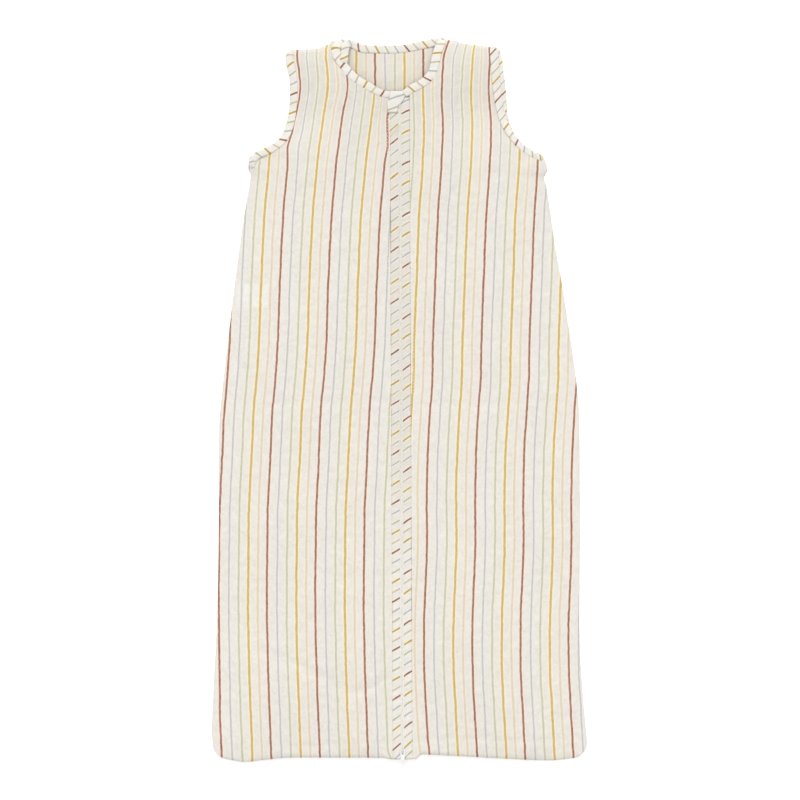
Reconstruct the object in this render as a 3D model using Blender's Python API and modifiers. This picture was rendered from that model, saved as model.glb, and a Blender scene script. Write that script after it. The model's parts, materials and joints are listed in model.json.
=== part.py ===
"""Sleeveless baby sleeping bag with a centre-front zip, lying flat on its back.

Units are metres. +X is to the right as the bag is seen from above, +Y points from the hem to the neck,
and +Z is up from the surface that the bag lies on. The origin is at the middle of the bag's box, on that
surface. The front stands a little off the back, as cloth does, so that the inside, the neck and the two
armholes are open. The zip is one straight line that rises gently from the hem to the neck, and every piece
of it hangs on one empty, zip_line, whose own +Y runs up the zip and whose +Z is square to the tapes.
"""

import math

import bmesh
import bpy
from mathutils import Matrix

# ---- Driving dimensions of the bag ----
CLOTH = 0.0016  # thickness of a cloth piece with its seam allowances
GAP = 0.0003  # between pieces that touch
HEM_Y = -0.346
NECK_POINT_Y = 0.350  # height of the neck points, where the shoulder seams start
SHOULDER_DROP = 0.007  # how much lower a shoulder seam ends at the armhole
CORNER_RADIUS = 0.020  # of the two hem corners
SIDE_LINE = (  # half widths down the side seam, from the armpit to the hem corner: (y, x)
    (0.237, 0.1450),
    (0.195, 0.1475),
    (0.118, 0.1580),
    (0.042, 0.1690),
    (-0.030, 0.1745),
    (-0.120, 0.1760),
    (-0.230, 0.1770),
    (-0.326, 0.1815),
)

# ---- Bindings ----
BINDING_WIDTH = 0.0075
BINDING_THICK = 0.0026
BINDING_INSET = BINDING_WIDTH + 0.0006  # how far a bound edge of cloth stands back from the finished edge

# ---- Neck ----
NECK_HALF_WIDTH = 0.0495  # of the finished opening
NECK_FRONT_DEPTH = 0.0455
NECK_BACK_DEPTH = 0.0040
NECK_PARTING = 0.0012  # from the middle to where each front branch of the binding starts
NECK_OVERRUN = 0.0040  # how far a front branch runs past the neck point, onto the back's binding

# ---- Armholes: a straight edge, then a quarter ellipse out to the armpit ----
ARM_X = 0.105
ARM_CORNER = (0.146, 0.292)  # centre of the ellipse
ARM_RADII = (ARM_CORNER[0] - ARM_X, 0.055)
ARM_OVERRUN = 0.0015  # how far the binding runs past the shoulder seam

# ---- Zip, in the zip_line frame: x across, y up from the hem, z square to the tapes ----
ZIP_BASE_Z = 0.0041  # of the tapes' middle at the hem
ZIP_TOP_Z = 0.0130  # and at the neck
ZIP_LENGTH = 0.6425
TEETH_INNER, TEETH_OUTER, TEETH_HALF_THICK = 0.0005, 0.0020, 0.00105
TEETH_START, TEETH_END = 0.0044, 0.6330
TAPE_INNER, TAPE_OUTER, TAPE_THICK = 0.0023, 0.0140, 0.0006
BAND_LIP, BAND_INNER, BAND_OUTER = 0.0007, 0.0038, 0.0098  # the lip overhangs the teeth and the slider's wing
BAND_LIP_Z, BAND_TOP = 0.0024, 0.0033
BAND_START = 0.0026
PANEL_INNER = 0.0102  # where the front panels' zip edges stand
STOP_LENGTH = 0.0020
NYLON_ROUND = 0.0003  # how far the teeth's and the stops' edges are rounded
BOX_HALF_WIDTH, BOX_LENGTH, BOX_HALF_THICK = 0.0034, 0.0060, 0.0014
PIN_INNER, PIN_OUTER, PIN_PLAY = 0.0005, 0.0019, 0.0002  # the play is inside the box's slot
SLOT_HALF_HEIGHT = 0.00065  # in the slider and in the start box, where the tapes pass

# ---- Slider and pull ----
SLIDER_Y = 0.0090  # middle of the slider when the zip is closed
SLIDER_LENGTH, SLIDER_HALF_WIDTH, SLIDER_HALF_THICK = 0.0085, 0.0034, 0.0021
CHANNEL_HALF_WIDTH, CHANNEL_HALF_HEIGHT = 0.00245, 0.00145
WEDGE_HALF_WIDTH, WEDGE_LENGTH = 0.00022, 0.0032
BRIDGE_HALF_WIDTH, BRIDGE_LENGTH, BRIDGE_TOP = 0.0004, 0.0052, 0.0054
PIVOT_Z = 0.0042
BRIDGE_HOLE = (0.0013, 0.0034, 0.0048)  # half length, and from and to what height
PULL_LENGTH, PULL_HALF_WIDTH, PULL_THICK = 0.0138, 0.0023, 0.0009
PULL_WINDOW = (0.0010, 0.0042)  # half width and far end of the window that the bridge stands in
PULL_EYE_RADIUS = 0.0012

# ---- Garage: the flap over the zip's start, hinged along its left edge ----
GARAGE_HINGE = (-0.0107, 0.0044)  # x and z of its axis
GARAGE_THICK = 0.0014
GARAGE_EDGE = (  # its free edge, as (distance from the hinge, height from the zip's end), going up
    (0.0087, -0.0190),
    (0.0117, -0.0160),
    (0.0137, -0.0100),
    (0.0162, -0.0050),
    (0.0167, 0.0010),
    (0.0152, 0.0040),
)

# ---- Labels in the left side seam ----
LABEL_Y = 0.105
LABEL_WIDTH = 0.023
CARE_LABEL = (-0.1545, -0.1225, CLOTH + GAP, 0.0005)  # x from, x to, z, thickness
SIZE_LABEL = (-0.1500, -0.1310, CLOTH + 2 * GAP + 0.0005, 0.0004)

# ---- Shape of the front ----
BULGE = 0.0070  # how far the cloth stands up between the zip and the side seam
HEM_RISE = 0.14  # over this length the front rises from the hem seam
SHOULDER_FALL = 0.298  # above this height the front comes down to the shoulder seams

ZIP_SLOPE = math.atan2(ZIP_TOP_Z - ZIP_BASE_Z, ZIP_LENGTH)


# ---- Scene helpers ----


def clear_scene():
    for obj in list(bpy.data.objects):
        bpy.data.objects.remove(obj, do_unlink=True)


def new_collection(name):
    made = bpy.data.collections.new(name)
    bpy.context.scene.collection.children.link(made)
    return made


def new_material(name, colour, roughness, metallic=0.0):
    made = bpy.data.materials.new(name)
    made.use_nodes = True
    shader = made.node_tree.nodes["Principled BSDF"]
    shader.inputs["Base Color"].default_value = (*colour, 1.0)
    shader.inputs["Roughness"].default_value = roughness
    shader.inputs["Metallic"].default_value = metallic
    made.diffuse_color = (*colour, 1.0)
    return made


def add_object(name, data, material=None, parent=None):
    made = bpy.data.objects.new(name, data)
    bag.objects.link(made)
    made.parent = parent
    if material:
        data.materials.append(material)
    return made


def as_helper(obj):
    """Makes an object a cutter or a joined-on shape, which isn't a piece of its own."""
    bag.objects.unlink(obj)
    cutters.objects.link(obj)
    obj.hide_render = True
    obj.display_type = "WIRE"
    return obj


def combine(obj, other, operation):
    modifier = obj.modifiers.new(operation.title(), "BOOLEAN")
    modifier.operation = operation
    modifier.solver = "EXACT"
    modifier.object = as_helper(other)


def round_edges(obj, width, segments=2):
    modifier = obj.modifiers.new("Round edges", "BEVEL")
    modifier.width = width
    modifier.segments = segments
    modifier.limit_method = "ANGLE"


def mesh_of(name, bm):
    bmesh.ops.recalc_face_normals(bm, faces=bm.faces)
    mesh = bpy.data.meshes.new(name)
    bm.to_mesh(mesh)
    bm.free()
    return mesh


def box(name, low, high, material=None, parent=None):
    """A block between two corners, whose origin is at its middle."""
    bm = bmesh.new()
    bmesh.ops.create_cube(bm, size=1.0)
    size = [b - a for a, b in zip(low, high)]
    bmesh.ops.transform(bm, matrix=Matrix.Diagonal((*size, 1.0)), verts=bm.verts)
    made = add_object(name, mesh_of(name, bm), material, parent)
    made.location = [(a + b) / 2 for a, b in zip(low, high)]
    return made


def mesh_from_curve(obj, material=None):
    """The curve object as a mesh object with welded caps; the curve is removed."""
    bpy.context.view_layer.update()
    graph = bpy.context.evaluated_depsgraph_get()
    mesh = bpy.data.meshes.new_from_object(obj.evaluated_get(graph))
    bm = bmesh.new()
    bm.from_mesh(mesh)
    bmesh.ops.remove_doubles(bm, verts=bm.verts, dist=1e-6)
    bmesh.ops.recalc_face_normals(bm, faces=bm.faces)
    bm.to_mesh(mesh)
    bm.free()
    mesh.materials.clear()
    name, parent, world = obj.name, obj.parent, obj.matrix_world.copy()
    bpy.data.objects.remove(obj, do_unlink=True)
    made = add_object(name, mesh, material, parent)
    made.matrix_world = world
    return made


def poly_curve(name, points, dimensions, cyclic):
    curve = bpy.data.curves.new(name, "CURVE")
    curve.dimensions = dimensions
    spline = curve.splines.new("POLY")
    spline.points.add(len(points) - 1)
    for target, point in zip(spline.points, points):
        target.co = (*point, *[0.0] * (3 - len(point)), 1.0)
    spline.use_cyclic_u = cyclic
    return curve


def plate(name, outline, thickness, material=None, parent=None):
    """A flat piece with that outline, its middle in the plane of its own origin."""
    curve = poly_curve(name, outline, "2D", cyclic=True)
    curve.fill_mode = "BOTH"
    curve.extrude = thickness / 2
    return mesh_from_curve(add_object(name, curve, parent=parent), material)


def ribbon(name, path, width, thickness, material=None):
    """A flat strip of cloth, folded edges rounded, that follows the path with its face up."""
    w, t, c = width / 2, thickness / 2, thickness / 4
    corners = [(w, t - c), (w - c, t), (c - w, t), (-w, t - c), (-w, c - t), (c - w, -t), (w - c, -t), (w, c - t)]
    section = add_object(name + "_section", poly_curve(name + "_section", corners, "2D", cyclic=True))
    curve = poly_curve(name, path, "3D", cyclic=False)
    curve.twist_mode = "Z_UP"
    curve.bevel_mode = "OBJECT"
    curve.bevel_object = section
    curve.use_fill_caps = True
    made = mesh_from_curve(add_object(name, curve), material)
    bpy.data.objects.remove(section, do_unlink=True)
    return made


def both_sides(name, make):
    """Makes a piece on each side of the zip: make(full name, -1 for left or 1 for right)."""
    for side, sign in (("left", -1), ("right", 1)):
        make(f"{name}_{side}", sign)


# ---- The bag's outline and the shape of its front ----


def side_x(y):
    """Half width of the bag at the side seam: a smooth line through SIDE_LINE, rounded at the hem corner."""
    corner_y = SIDE_LINE[-1][0]
    if y < corner_y:
        drop = min(corner_y - y, CORNER_RADIUS)
        return SIDE_LINE[-1][1] - CORNER_RADIUS + math.sqrt(CORNER_RADIUS**2 - drop**2)
    if y >= SIDE_LINE[0][0]:
        return SIDE_LINE[0][1]
    i = next(i for i in range(len(SIDE_LINE) - 1) if y >= SIDE_LINE[i + 1][0])
    (y0, x0), (y1, x1) = SIDE_LINE[i], SIDE_LINE[i + 1]
    before, after = SIDE_LINE[max(i - 1, 0)], SIDE_LINE[min(i + 2, len(SIDE_LINE) - 1)]
    slope0 = (x1 - before[1]) / (y1 - before[0])
    slope1 = (after[1] - x0) / (after[0] - y0)
    step, s = y1 - y0, (y - y0) / (y1 - y0)
    return (
        x0 * (1 + 2 * s) * (1 - s) ** 2
        + slope0 * step * s * (1 - s) ** 2
        + x1 * s * s * (3 - 2 * s)
        + slope1 * step * s * s * (s - 1)
    )


def arm_point(angle, inset):
    """A point of the armhole's curved part, that far inside the finished edge: angle 0 is its top."""
    rx, ry = ARM_RADII[0] + inset, ARM_RADII[1] + inset
    return ARM_CORNER[0] - rx * math.cos(angle), ARM_CORNER[1] - ry * math.sin(angle)


def edge_x(y):
    """Half width of the cloth at its outer edge: side seam, then the bound armhole edge."""
    ry = ARM_RADII[1] + BINDING_INSET
    down = (ARM_CORNER[1] - y) / ry
    if down >= 1:
        return side_x(y)
    across = (ARM_RADII[0] + BINDING_INSET) * math.sqrt(1 - max(down, 0) ** 2)
    return min(side_x(y), ARM_CORNER[0] - across)


def neck_x(y):
    """Half width of the front neckline's cloth edge at that height; the zip edge below it."""
    a, b = NECK_HALF_WIDTH + BINDING_INSET, NECK_FRONT_DEPTH + BINDING_INSET
    down = min((NECK_POINT_Y - y) / b, 1)
    return max(PANEL_INNER, a * math.sqrt(1 - max(down, 0) ** 2))


def shoulder_y(x):
    """Height of the shoulder seam at that half width."""
    start, end = NECK_HALF_WIDTH + BINDING_INSET, ARM_X - BINDING_INSET
    across = min(max((abs(x) - start) / (end - start), 0), 1)
    return NECK_POINT_Y - SHOULDER_DROP * across


def zip_z(y):
    """Height of the tapes' middle above the surface."""
    return ZIP_BASE_Z + (y - HEM_Y) * math.tan(ZIP_SLOPE)


def front_z(x, y):
    """Height of the front's underside: on the tapes at the zip, down to the back at the seams."""
    base = CLOTH + GAP
    at_zip = zip_z(y) + TAPE_THICK / 2 + GAP - base
    t = min(max((abs(x) - PANEL_INNER) / (side_x(y) - PANEL_INNER), 0), 1)
    rise = min((y - HEM_Y) / HEM_RISE, 1)
    bulge = BULGE * (1 - (1 - rise) ** 2)
    fall = min(max((y - SHOULDER_FALL) / (shoulder_y(x) - SHOULDER_FALL), 0), 1)
    return base + math.sqrt(1 - fall**2) * (at_zip * (1 - t**3) + bulge * 4 * t * (1 - t))


# ---- Cloth pieces ----


def steps(start, end, count):
    return [start + (end - start) * i / count for i in range(count + 1)]


def panel_rows():
    """Heights of the cross rows of a front panel, closer together where its outline turns."""
    corner_y = SIDE_LINE[-1][0]
    hem = [corner_y - CORNER_RADIUS * math.cos(a) for a in steps(0, math.pi / 2, 4)]
    top = ARM_CORNER[1] - ARM_RADII[1] - BINDING_INSET
    body = steps(corner_y, top, 13)[1:]
    arm = [arm_point(a, BINDING_INSET)[1] for a in steps(math.pi / 2, 0, 9)][1:]
    b = NECK_FRONT_DEPTH + BINDING_INSET
    start = math.acos((NECK_POINT_Y - (arm[-1] + 0.0057)) / b)
    neck = [NECK_POINT_Y - b * math.cos(a) for a in steps(start, math.pi / 2, 8)]
    return hem + body + arm + neck


def make_front_panel(name, sign):
    rows, columns = panel_rows(), 10
    bm = bmesh.new()
    bmesh.ops.create_grid(bm, x_segments=columns, y_segments=len(rows) - 1, size=0.5)
    for vert in bm.verts:
        across, row = vert.co.x + 0.5, round((vert.co.y + 0.5) * (len(rows) - 1))
        y = rows[row]
        x = neck_x(y) + (edge_x(y) - neck_x(y)) * across
        near_top = max(0, (y - ARM_CORNER[1]) / (NECK_POINT_Y - ARM_CORNER[1]))
        y += (shoulder_y(x) - NECK_POINT_Y) * near_top
        vert.co = (sign * x, y, front_z(x, y))
    raised = bmesh.ops.extrude_face_region(bm, geom=bm.faces[:])["geom"]
    tops = [v for v in raised if isinstance(v, bmesh.types.BMVert)]
    bmesh.ops.translate(bm, vec=(0, 0, CLOTH), verts=tops)
    add_object(name, mesh_of(name, bm), muslin)


def half_outline():
    """The back panel's outline from the hem's middle, up its right side, to the back neck's middle."""
    corner_y = SIDE_LINE[-1][0]
    centre_x = SIDE_LINE[-1][1] - CORNER_RADIUS
    points = [(0, HEM_Y)]
    for a in steps(-math.pi / 2, 0, 6):
        points.append((centre_x + CORNER_RADIUS * math.cos(a), corner_y + CORNER_RADIUS * math.sin(a)))
    top = ARM_CORNER[1] - ARM_RADII[1] - BINDING_INSET
    points += [(side_x(y), y) for y in steps(corner_y, top, 14)[1:]]
    points += [arm_point(a, BINDING_INSET) for a in steps(math.pi / 2, 0, 9)][1:]
    points += [(ARM_X - BINDING_INSET, shoulder_y(ARM_X - BINDING_INSET))]
    a = NECK_HALF_WIDTH + BINDING_INSET
    points += [(x, back_neck_y(x, BINDING_INSET)) for x in steps(a, 0, 8)]
    return points


def back_neck_y(x, inset):
    """Height of the back neckline, a flat arc, that far below the finished edge."""
    sag, half = NECK_BACK_DEPTH, NECK_HALF_WIDTH
    radius = (half**2 + sag**2) / (2 * sag)
    centre_y = NECK_POINT_Y - NECK_BACK_DEPTH + radius
    return centre_y - math.sqrt((radius + inset) ** 2 - x * x)


def make_back_panel():
    half = half_outline()
    outline = half + [(-x, y) for x, y in reversed(half[1:-1])]
    made = plate("back_panel", outline, CLOTH, muslin)
    made.location.z = CLOTH / 2


def make_neck_binding():
    """One strip: up the left front, round the back neck and down the right front to the zip."""
    middle = BINDING_WIDTH / 2
    a, b = NECK_HALF_WIDTH + middle, NECK_FRONT_DEPTH + middle
    start = math.asin(NECK_PARTING / a)
    back = [(x, back_neck_y(x, middle), BINDING_THICK / 2) for x in steps(-a - middle, a + middle, 16)]
    strip = ribbon("neck_binding", back, BINDING_WIDTH, BINDING_THICK, binding)
    for side, sign in (("left", -1), ("right", 1)):
        front = []
        for angle in steps(start, math.pi / 2, 18):
            x, y = a * math.sin(angle), NECK_POINT_Y - b * math.cos(angle)
            front.append((sign * x, y, front_z(x, y) + CLOTH / 2))
        front.append((sign * a, NECK_POINT_Y + NECK_OVERRUN, front_z(a, NECK_POINT_Y) + CLOTH / 2))
        combine(strip, ribbon(f"neck_front_{side}", front, BINDING_WIDTH, BINDING_THICK), "UNION")


def make_armhole_binding(name, sign):
    """A closed ring: down the front edge from the shoulder to the armpit, and up the back edge."""
    middle = BINDING_WIDTH / 2
    line = [(ARM_X - middle, y) for y in steps(shoulder_y(ARM_X) + ARM_OVERRUN, ARM_CORNER[1], 5)]
    line += [arm_point(a, middle) for a in steps(0, math.pi / 2, 12)][1:]
    back = [(sign * x, y, BINDING_THICK / 2) for x, y in line]
    front = [(sign * x, y, front_z(x, y) + CLOTH / 2) for x, y in line]
    strip = ribbon(name, back, BINDING_WIDTH, BINDING_THICK, binding)
    combine(strip, ribbon(name + "_front", front, BINDING_WIDTH, BINDING_THICK), "UNION")


def make_label(name, place):
    x0, x1, z, thick = place
    low = (x0, LABEL_Y - LABEL_WIDTH / 2, z)
    box(name, low, (x1, LABEL_Y + LABEL_WIDTH / 2, z + thick), satin)


# ---- Zip pieces, all in the zip_line frame ----


def make_zip_line():
    made = bpy.data.objects.new("zip_line", None)
    bag.objects.link(made)
    made.location = (0, HEM_Y, ZIP_BASE_Z)
    made.rotation_euler.x = ZIP_SLOPE
    return made


def zip_box(name, x, y, z, material=None, parent=None):
    """A block in the zip_line frame, given as three (low, high) spans."""
    return box(name, *zip(x, y, z), material, parent or zip_line)


def side_span(sign, inner, outer):
    return tuple(sorted((sign * inner, sign * outer)))


def make_tape(name, sign):
    x = side_span(sign, TAPE_INNER, TAPE_OUTER)
    zip_box(name, x, (0.0005, ZIP_LENGTH), (-TAPE_THICK / 2, TAPE_THICK / 2), tape)


def make_teeth(name, sign):
    x = side_span(sign, TEETH_INNER, TEETH_OUTER)
    strip = zip_box(name, x, (TEETH_START, TEETH_END), (-TEETH_HALF_THICK, TEETH_HALF_THICK), nylon)
    round_edges(strip, NYLON_ROUND)


def make_end_stop(name, sign):
    x = side_span(sign, TEETH_INNER, TEETH_OUTER)
    y = (TEETH_START - GAP - STOP_LENGTH, TEETH_START - GAP)
    stop = zip_box(name, x, y, (-TEETH_HALF_THICK, TEETH_HALF_THICK), nylon)
    round_edges(stop, NYLON_ROUND)


def make_band(name, sign):
    """The folded strip of cloth that covers a tape, with a lip over the teeth."""
    y, z = (BAND_START, ZIP_LENGTH), TAPE_THICK / 2 + GAP
    strip = zip_box(name, side_span(sign, BAND_INNER, BAND_OUTER), y, (z, BAND_TOP), binding)
    lip = zip_box(name + "_lip", side_span(sign, BAND_LIP, BAND_OUTER - GAP), y, (BAND_LIP_Z, BAND_TOP))
    combine(strip, lip, "UNION")
    round_edges(strip, 0.0003, 1)


def make_start_box():
    """The box at the neck end that holds both halves of the zip together as the slider leaves it."""
    y = (TEETH_END + GAP, TEETH_END + GAP + BOX_LENGTH)
    w, t, far = BOX_HALF_WIDTH, BOX_HALF_THICK, STOP_LENGTH
    made = zip_box("zip_start_box", (-w, w), y, (-t, t), nylon)
    through = (y[0] - far, y[1] + far)
    slot = (-SLOT_HALF_HEIGHT, SLOT_HALF_HEIGHT)
    combine(made, zip_box("pin_slot", (PIN_INNER - GAP, w + far), through, slot), "DIFFERENCE")
    combine(made, zip_box("tape_slot", (-w - far, -TEETH_OUTER), through, slot), "DIFFERENCE")
    round_edges(made, 0.0002, 1)


def make_start_pin():
    y = (TEETH_END + GAP, TEETH_END + GAP + BOX_LENGTH - 0.0005)
    z = (PIN_PLAY - SLOT_HALF_HEIGHT, SLOT_HALF_HEIGHT - PIN_PLAY)
    pin = zip_box("zip_start_pin", (PIN_INNER, PIN_OUTER), y, z, nylon)
    round_edges(pin, PIN_PLAY, 1)


def make_slider():
    """Two wings joined by a wedge, with flanges that keep the teeth in and a bridge for the pull."""
    l, w, t = SLIDER_LENGTH / 2, SLIDER_HALF_WIDTH, SLIDER_HALF_THICK
    outline = [
        (w - 0.0006, l), (w - 0.0002, l - 0.0012), (w, 0.0), (w, -l + 0.0022), (w - 0.0008, -l + 0.0006),
        (w - 0.0018, -l),
    ]
    outline += [(-x, y) for x, y in reversed(outline)]
    made = plate("zip_slider", outline, 2 * t, lacquer, zip_line)
    made.matrix_parent_inverse = Matrix.Identity(4)
    made.matrix_basis = Matrix.Translation((0, SLIDER_Y, 0))
    y0, y1, wedge_end = SLIDER_Y - 2 * l, SLIDER_Y + 2 * l, SLIDER_Y - l + WEDGE_LENGTH
    c, h, slot = CHANNEL_HALF_WIDTH, CHANNEL_HALF_HEIGHT, SLOT_HALF_HEIGHT
    combine(made, zip_box("tail_channel", (-c, c), (wedge_end, y1), (-h, h)), "DIFFERENCE")
    both_sides(
        "head_channel",
        lambda name, sign: combine(
            made,
            zip_box(name, side_span(sign, WEDGE_HALF_WIDTH, c), (y0, wedge_end + 0.0002), (-h, h)),
            "DIFFERENCE",
        ),
    )
    both_sides(
        "tape_way",
        lambda name, sign: combine(
            made, zip_box(name, side_span(sign, c - 0.0002, 2 * w), (y0, y1), (-slot, slot)), "DIFFERENCE"
        ),
    )
    half = BRIDGE_LENGTH / 2
    bridge = zip_box(
        "bridge",
        (-BRIDGE_HALF_WIDTH, BRIDGE_HALF_WIDTH),
        (SLIDER_Y - half, SLIDER_Y + half),
        (t - 0.0003, BRIDGE_TOP),
    )
    round_edges(bridge, BRIDGE_HALF_WIDTH / 2)
    combine(made, bridge, "UNION")
    hole_half, hole_low, hole_top = BRIDGE_HOLE
    hole = zip_box("bridge_hole", (-w, w), (SLIDER_Y - hole_half, SLIDER_Y + hole_half), (hole_low, hole_top))
    combine(made, hole, "DIFFERENCE")


def make_pull():
    """A flat tab that hangs from the bridge by a round bar. Its origin is on the bar's axis."""
    w, far, half_t = PULL_HALF_WIDTH, PULL_LENGTH, PULL_THICK / 2
    outline = [(w, half_t), (w, -0.004), (w - 0.0004, -0.008), (w, -far + 0.002)]
    outline += [(w - 0.0005, -far + 0.0005), (w - 0.0013, -far)]
    outline += [(-x, y) for x, y in reversed(outline)]
    pull = plate("zip_pull", outline, PULL_THICK, lacquer, zip_line)
    pivot = Matrix.Translation((0, SLIDER_Y, PIVOT_Z))
    pull.matrix_parent_inverse = Matrix.Identity(4)
    pull.matrix_basis = pivot
    half, end = PULL_WINDOW
    window = zip_box("pull_window", (-half, half), (-end, 2 * half_t), (-half_t * 2, half_t * 2))
    window.matrix_parent_inverse = pivot
    combine(pull, window, "DIFFERENCE")
    bm = bmesh.new()
    bmesh.ops.create_cone(
        bm, cap_ends=True, segments=12, radius1=half_t, radius2=half_t, depth=2 * half + 0.0012
    )
    bar = add_object("pull_bar", mesh_of("pull_bar", bm), parent=zip_line)
    bar.matrix_parent_inverse = pivot @ Matrix.Rotation(math.pi / 2, 4, "Y")
    combine(pull, bar, "UNION")
    bm = bmesh.new()
    bmesh.ops.create_cone(
        bm, cap_ends=True, segments=16, radius1=PULL_EYE_RADIUS, radius2=PULL_EYE_RADIUS, depth=0.004
    )
    eye = add_object("pull_eye", mesh_of("pull_eye", bm), parent=zip_line)
    eye.matrix_parent_inverse = pivot @ Matrix.Translation((0, -far + 2.4 * PULL_EYE_RADIUS, 0))
    combine(pull, eye, "DIFFERENCE")


def make_garage():
    """A doubled flap of cloth over the zip's start. Its origin is on its hinge line."""
    half = GARAGE_THICK / 2
    outline = [(x, ZIP_LENGTH + y) for x, y in GARAGE_EDGE]
    outline += [(-half, ZIP_LENGTH + GARAGE_EDGE[-1][1]), (-half, ZIP_LENGTH + GARAGE_EDGE[0][1])]
    flap = plate("zip_garage", outline, GARAGE_THICK, binding, zip_line)
    flap.matrix_parent_inverse = Matrix.Identity(4)
    flap.matrix_basis = Matrix.Translation((GARAGE_HINGE[0], 0, GARAGE_HINGE[1]))
    round_edges(flap, 0.0005)


clear_scene()
bag = new_collection("baby_sleeping_bag")
cutters = new_collection("cutters")

muslin = new_material("muslin", (0.84, 0.81, 0.75), 0.95)
binding = new_material("bias_binding", (0.84, 0.80, 0.72), 0.95)
tape = new_material("zip_tape", (0.86, 0.86, 0.84), 0.85)
nylon = new_material("white_nylon", (0.88, 0.88, 0.86), 0.45)
lacquer = new_material("white_lacquer", (0.87, 0.87, 0.87), 0.30)
satin = new_material("label_satin", (0.90, 0.90, 0.89), 0.60)

zip_line = make_zip_line()
bpy.context.view_layer.update()

make_back_panel()
both_sides("front_panel", make_front_panel)
make_neck_binding()
both_sides("armhole_binding", make_armhole_binding)
make_label("care_label", CARE_LABEL)
make_label("size_label", SIZE_LABEL)
both_sides("zip_tape", make_tape)
both_sides("zip_teeth", make_teeth)
both_sides("zip_end_stop", make_end_stop)
both_sides("zip_band", make_band)
make_start_box()
make_start_pin()
make_slider()
make_pull()
make_garage()
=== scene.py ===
"""The looks of a sleeveless baby sleeping bag in striped cotton muslin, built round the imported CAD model.

Metres, +X right, +Y from the hem to the neck, +Z up. The bag lies flat on its back. Its cloth pieces replace
their plain CAD solids; the slider, the pull, the tapes and the zip's end pieces are the CAD's own. Every striped
piece carries a UV map named Cloth that counts stripes across (u) and along (v), so the stripes follow the cloth.
"""

import json
import math

import bmesh
import bpy
import numpy as np
from mathutils import Matrix, Vector, noise


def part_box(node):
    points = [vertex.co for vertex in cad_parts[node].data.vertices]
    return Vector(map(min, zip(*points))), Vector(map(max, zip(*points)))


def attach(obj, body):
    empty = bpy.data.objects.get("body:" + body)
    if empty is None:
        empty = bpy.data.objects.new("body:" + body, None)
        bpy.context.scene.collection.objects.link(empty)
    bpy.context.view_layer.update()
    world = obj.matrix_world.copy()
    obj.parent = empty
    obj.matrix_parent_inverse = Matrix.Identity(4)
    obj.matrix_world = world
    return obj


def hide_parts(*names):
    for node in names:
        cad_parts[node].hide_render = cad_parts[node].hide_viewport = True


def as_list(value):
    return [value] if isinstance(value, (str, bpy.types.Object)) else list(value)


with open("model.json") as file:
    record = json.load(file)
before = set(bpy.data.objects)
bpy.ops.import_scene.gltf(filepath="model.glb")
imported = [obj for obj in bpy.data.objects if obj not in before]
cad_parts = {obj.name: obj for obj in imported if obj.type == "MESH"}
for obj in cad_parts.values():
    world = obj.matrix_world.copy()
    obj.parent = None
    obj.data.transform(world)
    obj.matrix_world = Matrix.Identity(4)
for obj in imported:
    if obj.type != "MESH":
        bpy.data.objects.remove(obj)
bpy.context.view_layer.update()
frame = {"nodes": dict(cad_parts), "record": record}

MM = 0.001

# ---- The zip line, from the CAD ----
slide = next(j for j in frame["record"]["behaviour"]["joints"] if j["name"] == "zip_slide")
tape_low, tape_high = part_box("zip_tape_left")
ZIP_SLOPE = math.atan2(slide["axis"][2], slide["axis"][1])
ZIP_Y = tape_low[1] - 0.5 * MM
ZIP_Z = tape_low[2] + 0.3 * MM
ZIP_LENGTH = (tape_high[1] - tape_low[1]) / math.cos(ZIP_SLOPE) + 0.5 * MM
zip_frame = Matrix.Translation((0, ZIP_Y, ZIP_Z)) @ Matrix.Rotation(ZIP_SLOPE, 4, "X")

# ---- Cloth ----
GAUZE = 1.2 * MM  # thickness of the double gauze
PITCH = 9.36 * MM  # from one stripe to the next
CELL = 2.6 * MM  # size of the cloth's mesh cells

# ---- Outlines, in mm, as (y, x) down each side ----
LEFT_SIDE = (
    (239, -146.8), (229, -147.6), (221, -145.2), (200, -148.5), (170, -153.5), (120, -160.5), (60, -168),
    (5, -174.5), (-30, -177), (-130, -177.8), (-210, -179.8), (-270, -183), (-310, -185), (-332, -184.6),
)
RIGHT_SIDE = (
    (239, 139), (231, 142.4), (224, 142.6), (218, 139.8), (209, 142.2), (178, 146.8), (150, 150.5), (120, 156),
    (81, 162), (42, 167.6), (0, 172.3), (-40, 173.3), (-130, 173.3), (-210, 172.4), (-250, 173.2),
    (-290, 175.8), (-332, 179.4),
)
# Finished edges of the armholes, as (x, y) from the armpit to the shoulder
LEFT_ARM = (
    (-146.8, 239), (-138.5, 245.3), (-129, 249), (-120.5, 253.8), (-114, 261), (-110.6, 269), (-108.4, 278),
    (-107, 290), (-106.3, 305), (-107, 317), (-109.6, 329), (-110.6, 337), (-108.5, 342.5),
)
LEFT_ARM_BACK = (
    (-147.5, 233), (-141.5, 243), (-131.5, 248), (-121.5, 252.5), (-115, 260), (-111, 269), (-108.6, 278),
    (-107, 290), (-106.3, 305), (-106.8, 317), (-109, 329), (-110, 337), (-108, 342.5),
)
RIGHT_ARM = (
    (139.5, 239), (131, 242.8), (124, 246.8), (116.3, 253.8), (110.5, 262), (106, 270), (103, 279),
    (100.6, 290), (99, 303), (97.6, 316), (96.8, 329), (96.2, 337), (95.6, 344),
)
RIGHT_ARM_BACK = (
    (139.5, 240), (131, 243.6), (124, 247.6), (116.6, 254), (111, 262), (106.9, 270), (104.6, 279),
    (103.8, 290), (102.9, 303), (101.4, 316), (100.1, 329), (98.9, 337), (96.8, 343.8),
)
# The left front's armhole binding turns down over the side seam at its end
LEFT_ARM_STRIP = (
    (-145.4, 228.4), (-146.6, 233.5), (-145.6, 238.6), (-139.5, 244.6), (-129.5, 248.8), (-120.5, 253.8),
    *LEFT_ARM[4:],
)
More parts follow.
